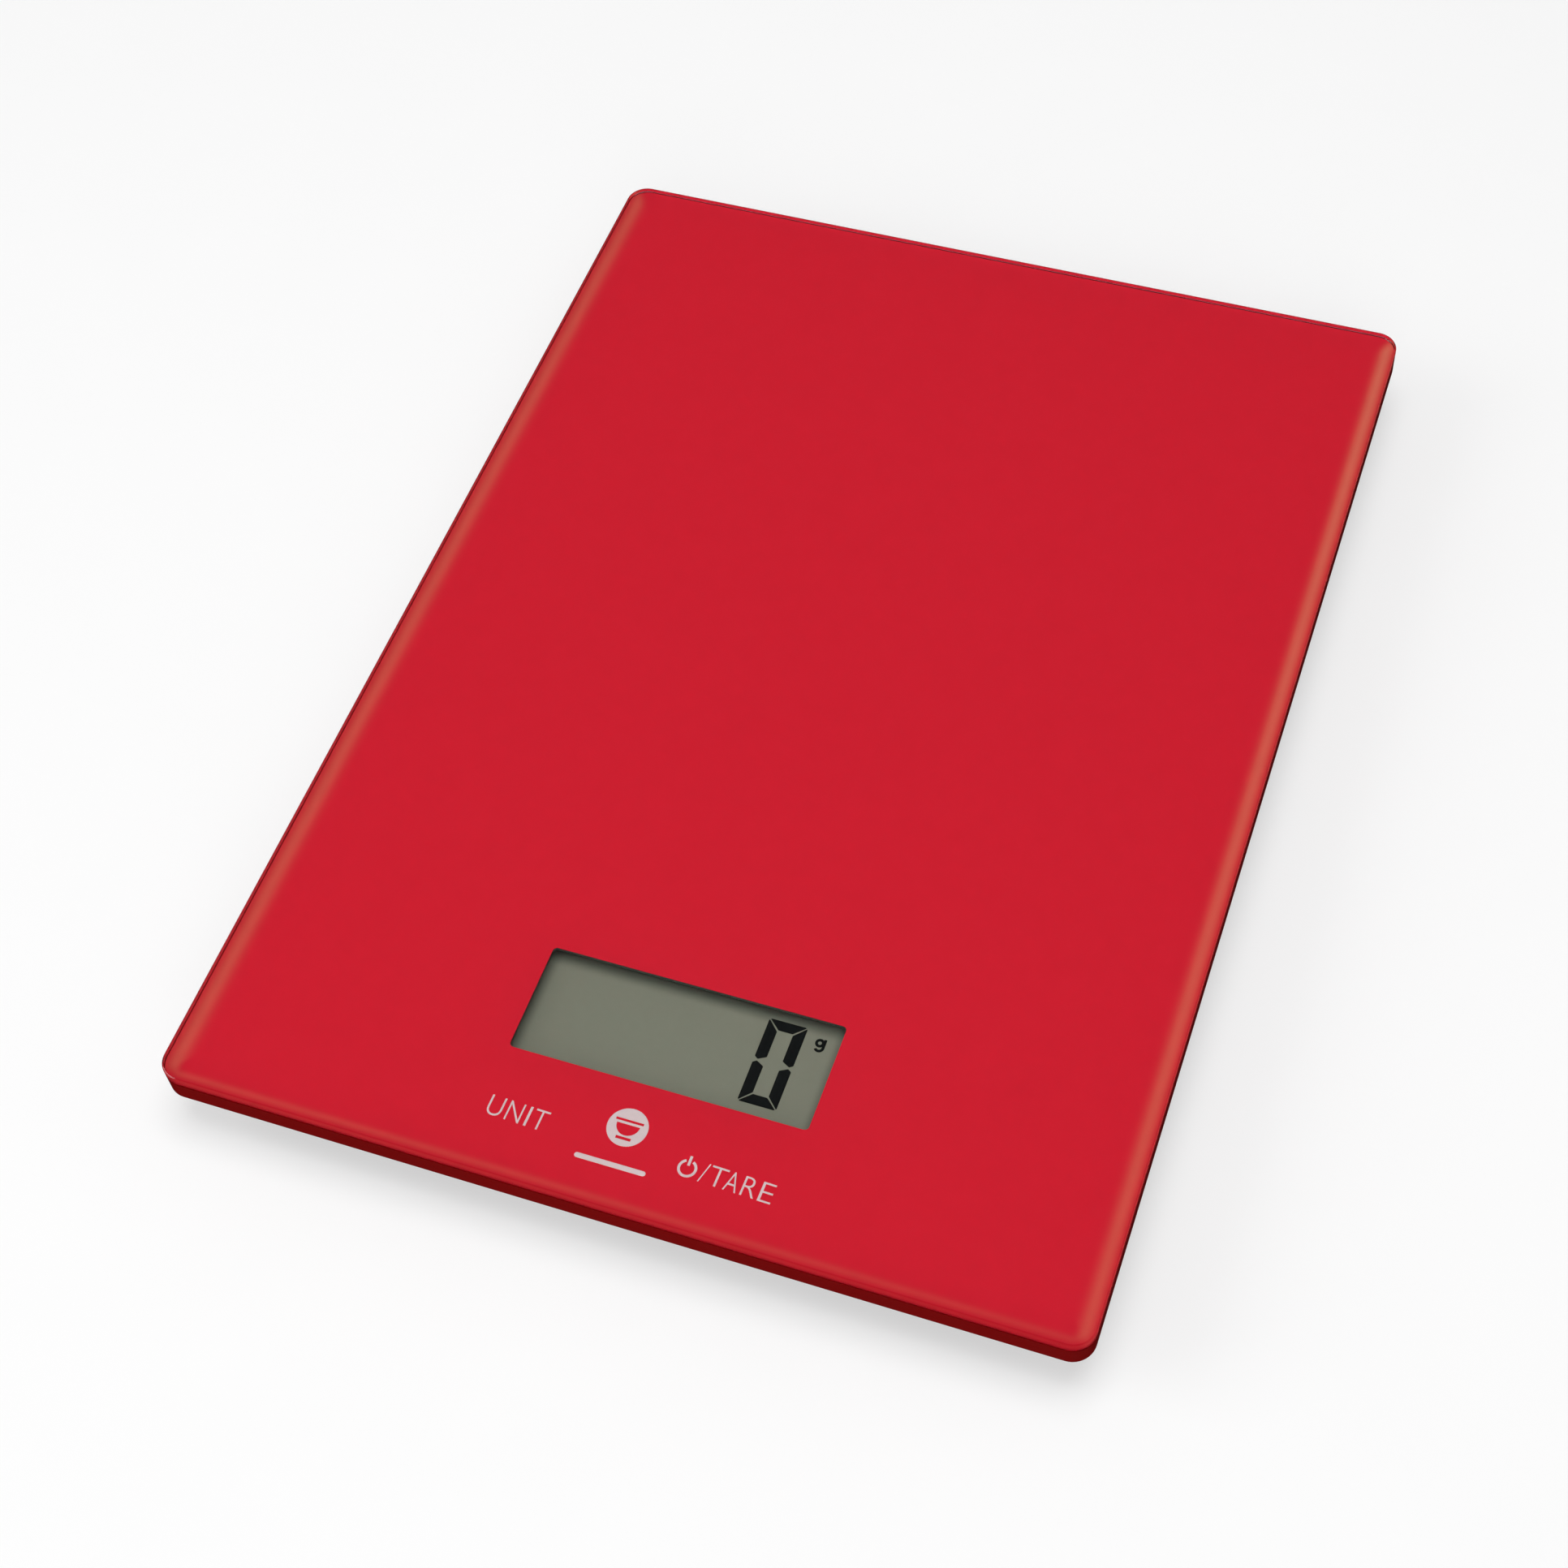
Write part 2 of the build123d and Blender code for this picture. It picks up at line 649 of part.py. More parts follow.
# Battery cap: a bayonet cap with two lugs and a coin slot, turned with a coin
cap_bottom = base_bottom + 0.1
cap_disc_top = base_bottom + cap_recess_depth - 0.1
lug_bottom = floor_top + 0.15
cap_top = coin_bottom - 0.15
with BuildPart() as battery_cap:
    with BuildSketch(Plane.XY.offset(cap_bottom)):
        with Locations((0, battery_y)):
            Circle(cap_disc_radius)
    extrude(amount=cap_disc_top - cap_bottom)
    fillet(battery_cap.edges().group_by(Axis.Z)[0], 0.3)
    with BuildSketch(Plane.XY.offset(cap_disc_top)):
        with Locations((0, battery_y)):
            Circle(cap_neck_radius)
    extrude(amount=cap_top - cap_disc_top)
    with BuildSketch(Plane.XY.offset(lug_bottom)):
        with Locations((0, battery_y)):
            Circle(cap_lug_radius)
            Rectangle(2 * cap_lug_radius, cap_lug_width, mode=Mode.INTERSECT)
    extrude(amount=cap_top - lug_bottom)
    with BuildSketch(Plane.XY.offset(cap_bottom)):
        with Locations((0, battery_y)):
            SlotOverall(18.0, 2.4)
    extrude(amount=1.3, mode=Mode.SUBTRACT)
    with BuildSketch(Plane.XY.offset(cap_bottom)):
        with Locations((0, battery_y - cap_disc_radius + 2.4)):
            RegularPolygon(1.2, 3, rotation=-90)
    extrude(amount=0.4, mode=Mode.SUBTRACT)
battery_cap.part.label = "battery_cap"
export_step(battery_cap.part, "parts/battery_cap.step")

# Feet: a moulded cup with a snap-in stem, and a rubber pad set into it
cup_radius = 12.0
cup_bottom = 1.2
cup_top = base_bottom - foot_play
stem_radius = 4.5
stem_lip_radius = 5.6
stem_top = cell_bottom
pad_radius = 10.3
pad_top = 2.2
for corner, (side_x, side_y) in corners.items():
    centre = (side_x * foot_x, side_y * foot_y)
    with BuildPart() as foot_cup:
        with BuildSketch(Plane.XY.offset(cup_bottom)):
            with Locations(centre):
                Circle(cup_radius)
        extrude(amount=cup_top - cup_bottom)
        fillet(foot_cup.edges().group_by(Axis.Z)[0], 0.5)
        with BuildSketch(Plane.XY.offset(cup_bottom)):
            with Locations(centre):
                Circle(pad_radius + 0.1)
        extrude(amount=pad_top - cup_bottom, mode=Mode.SUBTRACT)
        with BuildSketch(Plane.XY.offset(cup_top)):
            with Locations(centre):
                Circle(stem_radius)
        extrude(amount=stem_top - cup_top)
        with BuildSketch(Plane.XY.offset(floor_top + 0.1)):
            with Locations(centre):
                Circle(stem_lip_radius)
        extrude(amount=0.6)
    foot_cup.part.label = f"foot_cup_{corner}"
    export_step(foot_cup.part, f"parts/foot_cup_{corner}.step")

    with BuildPart() as foot_pad:
        with BuildSketch(Plane.XY):
            with Locations(centre):
                Circle(pad_radius)
        extrude(amount=pad_top)
        fillet(foot_pad.edges().group_by(Axis.Z)[0], 0.5)
        with BuildSketch(Plane.XY):
            with Locations(centre):
                for groove_radius in (4.0, 6.2, 8.4):
                    Circle(groove_radius + 0.8)
                    Circle(groove_radius, mode=Mode.SUBTRACT)
        extrude(amount=0.4, mode=Mode.SUBTRACT)
    foot_pad.part.label = f"foot_pad_{corner}"
    export_step(foot_pad.part, f"parts/foot_pad_{corner}.step")
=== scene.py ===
import math

import bpy
import numpy as np
from mathutils import Matrix, Vector


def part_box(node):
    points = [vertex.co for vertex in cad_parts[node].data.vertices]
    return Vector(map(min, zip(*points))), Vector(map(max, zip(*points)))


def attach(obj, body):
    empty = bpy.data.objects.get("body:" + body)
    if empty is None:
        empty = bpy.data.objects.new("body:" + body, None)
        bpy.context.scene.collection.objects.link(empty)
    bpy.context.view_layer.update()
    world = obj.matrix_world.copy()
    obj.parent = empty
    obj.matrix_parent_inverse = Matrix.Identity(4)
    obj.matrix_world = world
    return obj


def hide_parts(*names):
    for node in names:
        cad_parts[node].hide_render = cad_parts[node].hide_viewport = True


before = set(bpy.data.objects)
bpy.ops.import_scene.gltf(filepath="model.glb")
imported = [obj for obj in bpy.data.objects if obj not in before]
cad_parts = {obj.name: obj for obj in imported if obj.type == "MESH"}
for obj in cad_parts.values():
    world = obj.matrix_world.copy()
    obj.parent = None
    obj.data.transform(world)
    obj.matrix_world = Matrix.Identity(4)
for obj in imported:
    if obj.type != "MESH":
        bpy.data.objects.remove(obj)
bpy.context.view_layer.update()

# ---------------------------------------------------------------------------------------
# The camera looks down on the scale from in front and to its right, rolled a little.
camera_place = Vector((0.11358, -0.26976, 0.39919))
camera_azimuth = math.radians(24.743)
camera_elevation = math.radians(54.775)
camera_roll = math.radians(-6.455)
sensor_width = 36.0
lens_length = 61.516

level_way = Vector((math.cos(camera_azimuth), math.sin(camera_azimuth), 0))
sight_way = Vector((
    -math.sin(camera_azimuth) * math.cos(camera_elevation),
    math.cos(camera_azimuth) * math.cos(camera_elevation),
    -math.sin(camera_elevation),
))
upright_way = level_way.cross(sight_way)
right_way = level_way * math.cos(camera_roll) + upright_way * math.sin(camera_roll)
up_way = upright_way * math.cos(camera_roll) - level_way * math.sin(camera_roll)
camera_lens = bpy.data.cameras.new("camera")
camera_lens.lens = lens_length
camera_lens.sensor_width = sensor_width
camera_lens.clip_start = 0.01
camera = bpy.data.objects.new("camera", camera_lens)
bpy.context.collection.objects.link(camera)
turned = Matrix((right_way, up_way, -sight_way)).transposed().to_4x4()
camera.matrix_world = Matrix.Translation(camera_place) @ turned
bpy.context.scene.camera = camera

# ---------------------------------------------------------------------------------------
# Glass platform: one sheet of toughened float glass with polished edges and a fine arris.
# It covers the whole top, and the ink film is printed on its back.
MM = 0.001


class Wire:
    """A node's output. Arithmetic on it adds Math nodes, with numbers or other wires."""

    def __init__(self, finish, socket):
        self.finish, self.socket = finish, socket

    def maths(self, operation, *others):
        values = dict(enumerate((self, *others)))
        return self.finish.node("ShaderNodeMath", {"operation": operation}, values)

    def __add__(self, other):
        return self.maths("ADD", other)

    def __sub__(self, other):
        return self.maths("SUBTRACT", other)

    def __rsub__(self, other):
        return self.maths("MULTIPLY", -1.0) + other

    def __mul__(self, other):
        return self.maths("MULTIPLY", other)

    def __truediv__(self, other):
        return self.maths("DIVIDE", other)

    def __gt__(self, other):
        return self.maths("GREATER_THAN", other)

    def __lt__(self, other):
        return self.maths("LESS_THAN", other)

    def __abs__(self):
        return self.maths("ABSOLUTE")

    __radd__ = __add__
    __rmul__ = __mul__

    def least(self, other):
        return self.maths("MINIMUM", other)

    def most(self, other):
        return self.maths("MAXIMUM", other)

    def mix(self, one, other):
        """One value where this is 0, and the other where it is 1."""
        return (other - one) * self + one

    def between(self, low, high):
        """0 at low and 1 at high, with a smooth step in between."""
        values = {"Value": self, "From Min": low, "From Max": high}
        return self.finish.node("ShaderNodeMapRange", {"interpolation_type": "SMOOTHSTEP"}, values)


class Finish:
    """One material as it is made. node() adds a node, sets it and links its inputs."""

    def __init__(self, name):
        self.material = bpy.data.materials.new(name)
        self.material.use_nodes = True
        self.tree = self.material.node_tree
        self.tree.nodes.clear()

    def node(self, kind, settings=None, inputs=None, out=0):
        made = self.tree.nodes.new(kind)
        for name, value in (settings or {}).items():
            setattr(made, name, value)
        for name, value in (inputs or {}).items():
            if isinstance(value, Wire):
                self.tree.links.new(value.socket, made.inputs[name])
            else:
                made.inputs[name].default_value = value
        return Wire(self, made.outputs[out]) if made.outputs else made

    def place(self):
        """The point in the scale's own frame, in metres."""
        return self.node("ShaderNodeTexCoord", out="Object")

    def along(self):
        """Its x, y and z as three wires."""
        split = self.node("ShaderNodeSeparateXYZ", {}, {0: self.place()}).socket.node
        return [Wire(self, socket) for socket in split.outputs]

    def cloud(self, size, detail=3.0, stretch=(1, 1, 1)):
        """Noise from 0 to 1 whose spots are about this many metres across."""
        point = self.node(
            "ShaderNodeMapping", {}, {"Vector": self.place(), "Scale": stretch}
        )
        return self.node(
            "ShaderNodeTexNoise", {}, {"Vector": point, "Scale": 1 / size, "Detail": detail}
        )

    def blend(self, share, one, other):
        """The colour one where share is 0, and other where it is 1."""
        colours = {"Factor": share, 6: self.colour(one), 7: self.colour(other)}
        return self.node("ShaderNodeMix", {"data_type": "RGBA"}, colours, out=2)

    def colour(self, value):
        return value if isinstance(value, Wire) else (*value, 1.0)

    def bump(self, height, depth, strength=1.0):
        """A normal from a height map: depth is what a height of 1 stands for, in metres."""
        values = {"Height": height, "Distance": depth, "Strength": strength}
        return self.node("ShaderNodeBump", {}, values)

    def surface(self, colour, roughness, **sockets):
        """A Principled surface. Extra sockets use underscores in their names for spaces."""
        values = {"Base Color": self.colour(colour), "Roughness": roughness}
        values.update({name.replace("_", " "): value for name, value in sockets.items()})
        return self.node("ShaderNodeBsdfPrincipled", {}, values)

    def done(self, shader):
        self.node("ShaderNodeOutputMaterial", {}, {"Surface": shader})
        return self.material


def wear(node_name, material):
    """Gives a CAD node its material, in all its slots."""
    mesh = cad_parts[node_name].data
    mesh.materials.clear()
    mesh.materials.append(material)


def skin(name, points, faces, material, body="scale_body", smooth=True):
    """A mesh piece from an array of points and a list of faces, riding on a body."""
    mesh = bpy.data.meshes.new(name)
    mesh.from_pydata(points.tolist(), [], faces)
    mesh.update()
    mesh.materials.append(material)
    if smooth:
        mesh.shade_smooth()
        mesh.set_sharp_from_angle(angle=math.radians(30))
        for end in (0, -1):
            mesh.polygons[end].use_smooth = False
    piece = bpy.data.objects.new(name, mesh)
    bpy.context.collection.objects.link(piece)
    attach(piece, body)
    return piece


def rounded_outline(width, depth, radius, steps=12):
    """Points anticlockwise round a rounded rectangle: each corner's centre plus the radius
    times the cosine and sine of an angle that runs through a quarter turn."""
    turn = np.linspace(0, np.pi / 2, steps + 1)
    angles = np.concatenate([turn + quarter * np.pi / 2 for quarter in range(4)])
    signs = np.repeat([(1, 1), (-1, 1), (-1, -1), (1, -1)], steps + 1, axis=0)
    centres = signs * (width / 2 - radius, depth / 2 - radius)
    return centres + radius * np.stack([np.cos(angles), np.sin(angles)], axis=1)


def stacked_rings(rings):
    """A closed body from rings of equal length, lowest first: quads join each ring to the
    next, and one flat face closes each end."""
    count = len(rings[0])
    here = np.arange(count)
    beyond = (here + 1) % count
    faces = [here[::-1].tolist()]
    for level in range(len(rings) - 1):
        low, high = level * count, (level + 1) * count
        quads = np.stack([low + here, low + beyond, high + beyond, high + here], axis=1)
        faces += quads.tolist()
    faces.append((here + (len(rings) - 1) * count).tolist())
    return np.concatenate(rings), faces


def slab(width, depth, radius, levels, centre=(0, 0), steps=12):
    """A rounded slab: for each (inset, height) the same outline, shrunk by the inset."""
    rings = []
    for inset, height in levels:
        outline = rounded_outline(width - 2 * inset, depth - 2 * inset, radius - inset, steps)
        rings.append(np.column_stack([outline + centre, np.full(len(outline), height)]))
    return stacked_rings(rings)


glass_low, glass_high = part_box("glass_platform")
print_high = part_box("colour_print")[1]
plan_width = glass_high[0] - glass_low[0]
plan_depth = glass_high[1] - glass_low[1]
plan_corner = 4 * MM
arris = 0.3 * MM
ink_bond = 0.01 * MM
glass_tint = (0.93, 0.985, 0.96)

clear_glass = Finish("clear_glass")
wave = clear_glass.cloud(0.035, 1.0)
melt = clear_glass.surface(
    clear_glass.blend(clear_glass.cloud(0.05), glass_tint, (0.95, 0.99, 0.97)),
    0.0,
    IOR=1.52,
    Transmission_Weight=1.0,
    Normal=clear_glass.bump(wave, 0.004 * MM),
)
lamp_ray = clear_glass.node("ShaderNodeLightPath", out="Is Shadow Ray")
open_way = clear_glass.node("ShaderNodeBsdfTransparent", {}, {"Color": (0.96, 0.98, 0.97, 1)})
clear_glass.done(clear_glass.node("ShaderNodeMixShader", {}, {0: lamp_ray, 1: melt, 2: open_way}))

# The polished edges are tinted rose red so that they read dark red: painted shade and a painted
# reflection of the red ink inside the glass.
edge_glass_painted_reflection = Finish("edge_glass_painted_reflection")
edge_glass_painted_reflection.done(
    edge_glass_painted_reflection.surface(
        edge_glass_painted_reflection.blend(edge_glass_painted_reflection.cloud(0.02), (0.70, 0.22, 0.42), (0.74, 0.27, 0.46)),
        0.02,
        IOR=1.52,
        Specular_IOR_Level=0.15,
        Transmission_Weight=1.0,
        Normal=edge_glass_painted_reflection.bump(edge_glass_painted_reflection.cloud(0.003), 0.004 * MM),
    )
)

bottom = glass_low[2] - ink_bond
top = glass_high[2]
glass_levels = [
    (arris, bottom),
    (0.1 * MM, bottom + 0.1 * MM),
    (0, bottom + arris),
    (0, top - arris),
    (0.1 * MM, top - 0.1 * MM),
    (arris, top),
]
points, faces = slab(plan_width, plan_depth, plan_corner, glass_levels, steps=20)
glass_sheet = skin("glass_sheet", points, faces, clear_glass.material)
glass_sheet.data.materials.append(edge_glass_painted_reflection.material)
rim = np.ones(len(faces), np.int32)
rim[[0, -1]] = 0
glass_sheet.data.polygons.foreach_set("material_index", rim)
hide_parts("glass_platform")

# ---------------------------------------------------------------------------------------
# Colour print: opaque ceramic ink, screen-printed on the glass's back and fired. A soft
# lighter band along three sides is painted into its colour: a painted highlight that stands in for
# light entering at the polished edges.
ink_dark = (0.507, 0.0116, 0.0262)
ink_light = (0.521, 0.0128, 0.0284)
painted_edge_highlight = (0.62, 0.235, 0.135)

ink = Finish("red_print")
x, y, z = ink.along()
across = abs(x) - (plan_width / 2 - plan_corner)
forward = y * -1.0 - (plan_depth / 2 - plan_corner)
backward = y - (plan_depth / 2 - plan_corner)
sideways, onward = across.most(0.0), forward.most(0.0)
reach = (sideways * sideways + onward * onward).maths("SQRT")
inset = plan_corner - reach - across.most(forward).least(0.0)
left_peak, right_peak, front_peak = 2.1 * MM, 1.8 * MM, 1.7 * MM
left_spread, right_spread, front_spread = 1.45 * MM, 1.2 * MM, 0.65 * MM
right_share = x.between(-1 * MM, 1 * MM)
front_share = (forward - across).between(-1.5 * MM, 1.5 * MM)
back_fade = (backward - across).between(2 * MM, -2 * MM)
# Where the band lies and how strong it is: a painted highlight mixed into the ink's colour.
glow_peak = front_share.mix(right_share.mix(left_peak, right_peak), front_peak)
glow_width = front_share.mix(right_share.mix(left_spread, right_spread), front_spread)
side_gain = right_share.mix(0.27, y * 1.2 + 0.36)
front_gain = x * -0.35 + 0.12
offset = (inset - glow_peak) / glow_width
bell = (offset * offset * -1.0).maths("EXPONENT")
painted_light_share = bell * front_share.mix(side_gain, front_gain) * back_fade
mottle = ink.cloud(0.004) - 0.5
ink_colour = ink.blend(mottle + 0.5, ink_dark, ink_light)
ink.done(
    ink.surface(
        ink.blend(painted_light_share, ink_colour, painted_edge_highlight), 0.55 + mottle * 0.1, Specular_IOR_Level=0.0
    )
)
wear("colour_print", ink.material)

# ---------------------------------------------------------------------------------------
# Key legends: light grey ink, printed on the glass's back before the red, which lies
# behind it. UNIT and TARE name the touch keys; a plain bowl sign stands between them.
legend_ink = Finish("grey_ink")
grain = legend_ink.cloud(0.0006)
legend_ink.done(
    legend_ink.surface(legend_ink.blend(grain, (0.49, 0.435, 0.452), (0.54, 0.485, 0.502)), 0.5)
)
ink_top = print_high[2]
ink_depth = 0.02 * MM


def lettering(name, words, low, high, material, height, turn, bold):
    """Plain sans lettering as a mesh that fills the box from low to high, then turned about
    low by this many degrees, and standing ink_depth above height. Bold is how far the
    strokes are fattened, in parts of the font's own size."""
    text = bpy.data.curves.new(name, "FONT")
    text.body = words
    text.offset = bold
    text.extrude = 0.5
    holder = bpy.data.objects.new(name, text)
    bpy.context.collection.objects.link(holder)
    bpy.context.view_layer.update()
    mesh = bpy.data.meshes.new_from_object(
        holder.evaluated_get(bpy.context.evaluated_depsgraph_get())
    )
    bpy.data.objects.remove(holder)
    flat = np.empty(len(mesh.vertices) * 3, np.float32)
    mesh.vertices.foreach_get("co", flat)
    points = flat.reshape(-1, 3).astype(float)
    plan, rise = points[:, :2], points[:, 2]
    plan -= plan.min(axis=0)
    plan *= (np.array(high) - low) / plan.max(axis=0)
    cosine, sine = math.cos(math.radians(turn)), math.sin(math.radians(turn))
    turned = plan @ np.array([(cosine, sine), (-sine, cosine)]) + low
    level = np.where(rise > 0, height + ink_depth, height)
    points = np.column_stack([turned, level])
    mesh.vertices.foreach_set("co", points.astype(np.float32).ravel())
    mesh.update()
    mesh.materials.clear()
    mesh.materials.append(material)
    piece = bpy.data.objects.new(name, mesh)
    bpy.context.collection.objects.link(piece)
    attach(piece, "scale_body")
    return piece


def band(name, middle_line, width, material, height, closed=False):
    """A flat printed stroke: its sides are the middle line moved half the width along its
    normals, and it stands ink_depth above height."""
    line = np.asarray(middle_line, float)
    step = np.gradient(line, axis=0)
    if closed:
        step = np.roll(line, -1, axis=0) - np.roll(line, 1, axis=0)
    normal = np.column_stack([step[:, 1], -step[:, 0]])
    normal /= np.linalg.norm(normal, axis=1, keepdims=True)
    right, left = line + normal * width / 2, line - normal * width / 2
    low, high = height, height + ink_depth
    section = [(left, low), (right, low), (right, high), (left, high)]
    points = np.concatenate([np.column_stack([side, np.full(len(side), z)]) for side, z in section])
    count = len(line)
    here = np.arange(count if closed else count - 1)
    after = (here + 1) % count
    faces = []
    for corner in range(4):
        this, that = corner * count, (corner + 1) % 4 * count
        faces += np.stack([this + here, that + here, that + after, this + after], axis=1).tolist()
    if not closed:
        ends = np.arange(4) * count
        faces += [ends[::-1].tolist(), (ends + count - 1).tolist()]
    return skin(name, points, faces, material, smooth=False)


def arc(centre, radius, start, stop, steps=40):
    """Points on an arc: the centre plus the radius times cosine and sine, in degrees."""
    angle = np.radians(np.linspace(start, stop, steps))
    return np.column_stack([np.cos(angle), np.sin(angle)]) * radius + centre


def plate(name, outline, material, height):
    """A flat printed shape: its outline, given anticlockwise, stands ink_depth high."""
    outline = np.asarray(outline, float)
    rings = [np.column_stack([outline, np.full(len(outline), height + rise)])
             for rise in (0, ink_depth)]
    points, faces = stacked_rings(rings)
    return skin(name, points, faces, material, smooth=False)


grey_ink = legend_ink.material
row_turn = -1.7
row_slope = math.tan(math.radians(row_turn))
letter_bold = -0.014
stroke = 0.44 * MM


def letter_row(name, letters, first_base, cap_height):
    """Capitals along a slightly falling row: each has its left and right ends in mm. The
    font's strokes are a little heavy for this print, so they are thinned."""
    pieces = []
    for place, (letter, left, right) in enumerate(letters):
        base = first_base + (left - letters[0][1]) * row_slope
        low, high = (left * MM, base * MM), (right * MM, (base + cap_height) * MM)
        label = f"{name}_{place + 1}"
        pieces.append(
            lettering(label, letter, low, high, grey_ink, ink_top, row_turn, letter_bold)
        )
    return pieces


unit_letters = [
    ("U", -24.75, -22.18), ("N", -21.36, -18.78), ("I", -17.88, -17.46), ("T", -16.8, -14.34),
]
tare_letters = [
    ("/", 12.66, 13.78), ("T", 14.14, 17.0), ("A", 16.95, 19.18), ("R", 19.86, 22.25),
    ("E", 22.88, 25.12),
]
power_x, power_y = 10.4 * MM, -99.02 * MM
power_radius = 1.4 * MM
power_line = [(power_x, power_y + reach * MM) for reach in (0.5, 1.3, 2.24)]
sign_x, sign_y = -1.4 * MM, -95.1 * MM
sign_radius = 3.45 * MM
bowl_radius, bowl_centre = 2.0 * MM, (sign_x, sign_y + 0.5 * MM)
sign_rim_width, sign_base_width = 0.42 * MM, 0.5 * MM
bar_x, bar_y, bar_half = -1.75 * MM, -102.1 * MM, 0.45 * MM
bar_reach = 5.7 * MM
word_bar = np.concatenate([
    arc((bar_x + bar_reach, bar_y), bar_half, -90, 90, 12),
    arc((bar_x - bar_reach, bar_y), bar_half, 90, 270, 12),
])
unit_base, unit_caps = -99.66, 3.6
tare_base, tare_caps = -100.66, 3.48
legends = letter_row("unit_legend", unit_letters, unit_base, unit_caps)
legends += letter_row("tare_legend", tare_letters, tare_base, tare_caps)
legends += [
    band("power_ring", arc((power_x, power_y), power_radius, 115, 425), stroke, grey_ink, ink_top),
    band("power_stroke", power_line, stroke, grey_ink, ink_top),
    plate("sign_disc", arc((sign_x, sign_y), sign_radius, 0, 354, 60), grey_ink, ink_top),
    plate("word_bar", word_bar, grey_ink, ink_top),
]
sign_top = ink_top + ink_depth
rim_line = [(sign_x + across * MM, sign_y + 1.15 * MM) for across in (-2.4, 0, 2.4)]
base_line = [(sign_x + across * MM, sign_y - 2.05 * MM) for across in (-1.3, 0, 1.3)]
legends += [
    plate("sign_bowl", arc(bowl_centre, bowl_radius, 180, 360), ink.material, sign_top),
    band("sign_rim", rim_line, sign_rim_width, ink.material, sign_top),
    band("sign_base", base_line, sign_base_width, ink.material, sign_top),
]

# ---------------------------------------------------------------------------------------
# Display: a reflective liquid-crystal cell under the window. A grey-green polariser film
# is bonded to the front glass, and the dark segments are thin plates on its face.
window_x, window_y = 0.4 * MM, -76.9 * MM
window_half = (26.2 * MM, 10.0 * MM)
film_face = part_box("display_polariser")[1][2]

film = Finish("display_film")
x, y, z = film.along()
film_shift = 0.1 * MM
# The film's colour darkens towards the window's edges, most at the back: painted shadow of the
# window's walls.
to_back = window_y + window_half[1] - y
to_front = y - (window_y - window_half[1])
to_side = window_half[0] - abs(x - window_x + film_shift)
shade_back = to_back.between(2.4 * MM, 0.0 * MM)
shade_side = to_side.between(1.9 * MM, -0.2 * MM)
shade_front = to_front.between(0.7 * MM, -0.4 * MM)
shade = (1 - shade_back * 0.68) * (1 - shade_side * 0.5) * (1 - shade_front * 0.45)
speckle = film.cloud(0.0012, 2.0)
film_colour = film.blend(speckle, (0.135, 0.130, 0.103), (0.144, 0.138, 0.110))
film_shaded = film.blend(shade, (0.014, 0.017, 0.013), film_colour)
film.done(film.surface(film_shaded, 0.42 + speckle * 0.1, Specular_IOR_Level=0.1))
wear("display_polariser", film.material)

crystal_dark = Finish("dark_segment")
fleck = crystal_dark.cloud(0.0008)
crystal_dark.done(
    crystal_dark.surface(
        crystal_dark.blend(fleck, (0.0016, 0.0022, 0.0024), (0.0028, 0.0034, 0.0036)),
        0.45,
        Specular_IOR_Level=0.0,
    )
)

digit_size = (6.75 * MM, 16.1 * MM)
digit_left_front = (13.25 * MM, -84.1 * MM)
bar = 2.0 * MM
gap = 0.13 * MM


def segment(name, corners):
    """One display segment, from the corners of its outline, anticlockwise."""
    plate(name, corners, crystal_dark.material, film_face)


def digit_zero(left, front, width, height):
    """The six lit bars of a seven-segment nought. Each pair of bars meets on a mitre, with
    a gap on both sides of it, and the side bars come to a point at half height."""
    far_right, back, middle = left + width, front + height, front + height / 2
    tip = 0.35 * bar
    round_off = 0.3 * MM
    for side, outer, inner in (("left", left, left + bar), ("right", far_right, far_right - bar)):
        way = 1 if side == "left" else -1
        for half, end, sign in (("front", front, 1), ("back", back, -1)):
            corners = [
                (outer, end + sign * (gap + round_off)),
                (outer + way * 0.1 * MM, end + sign * (gap + 0.1 * MM)),
                (inner, end + sign * (bar + gap)),
                (inner, middle - sign * (bar * 0.45)),
                (outer + way * tip * 0.9, middle - sign * gap * 1.2),
                (outer, middle - sign * (bar * 0.3)),
            ]
            if way * sign > 0:
                segment(f"digit_{side}_{half}", corners)
            else:
                segment(f"digit_{side}_{half}", corners[::-1])
    for name, end, sign in (("front", front, 1), ("back", back, -1)):
        corners = [
            (left + gap + round_off, end),
            (far_right - gap - round_off, end),
            (far_right - gap - 0.1 * MM, end + sign * 0.12 * MM),
            (far_right - bar - gap, end + sign * (bar * 0.92)),
            (left + bar + gap, end + sign * (bar * 0.92)),
            (left + gap + 0.1 * MM, end + sign * 0.12 * MM),
        ]
        segment(f"digit_bar_{name}", corners if sign > 0 else corners[::-1])


digit_zero(*digit_left_front, *digit_size)
gram_stroke = 0.5 * MM
gram_centre, gram_radius = (22.74 * MM, -70.06 * MM), 0.57 * MM
hook_centre, hook_radius = (22.87 * MM, -70.88 * MM), 0.66 * MM
stem_x, stem_heights = 23.53 * MM, (-69.22, -69.8, -70.4)
dark = crystal_dark.material
gram_ring = arc(gram_centre, gram_radius, 0, 350, 36)
gram_bowl = band("gram_bowl", gram_ring, gram_stroke, dark, film_face, closed=True)
gram_stem = [(stem_x, stem_y * MM) for stem_y in stem_heights]
gram_hook = arc(hook_centre, hook_radius, 0, -150, 24)
gram_line = np.concatenate([gram_stem, gram_hook])
gram_tail = band("gram_tail", gram_line, gram_stroke, dark, film_face)

thin_glass = Finish("display_glass")
thin_glass.done(
    thin_glass.surface(
        thin_glass.blend(thin_glass.cloud(0.01), (0.62, 0.68, 0.60), (0.70, 0.75, 0.68)), 0.08
    )
)
wear("display_front_glass", thin_glass.material)
wear("display_rear_glass", thin_glass.material)

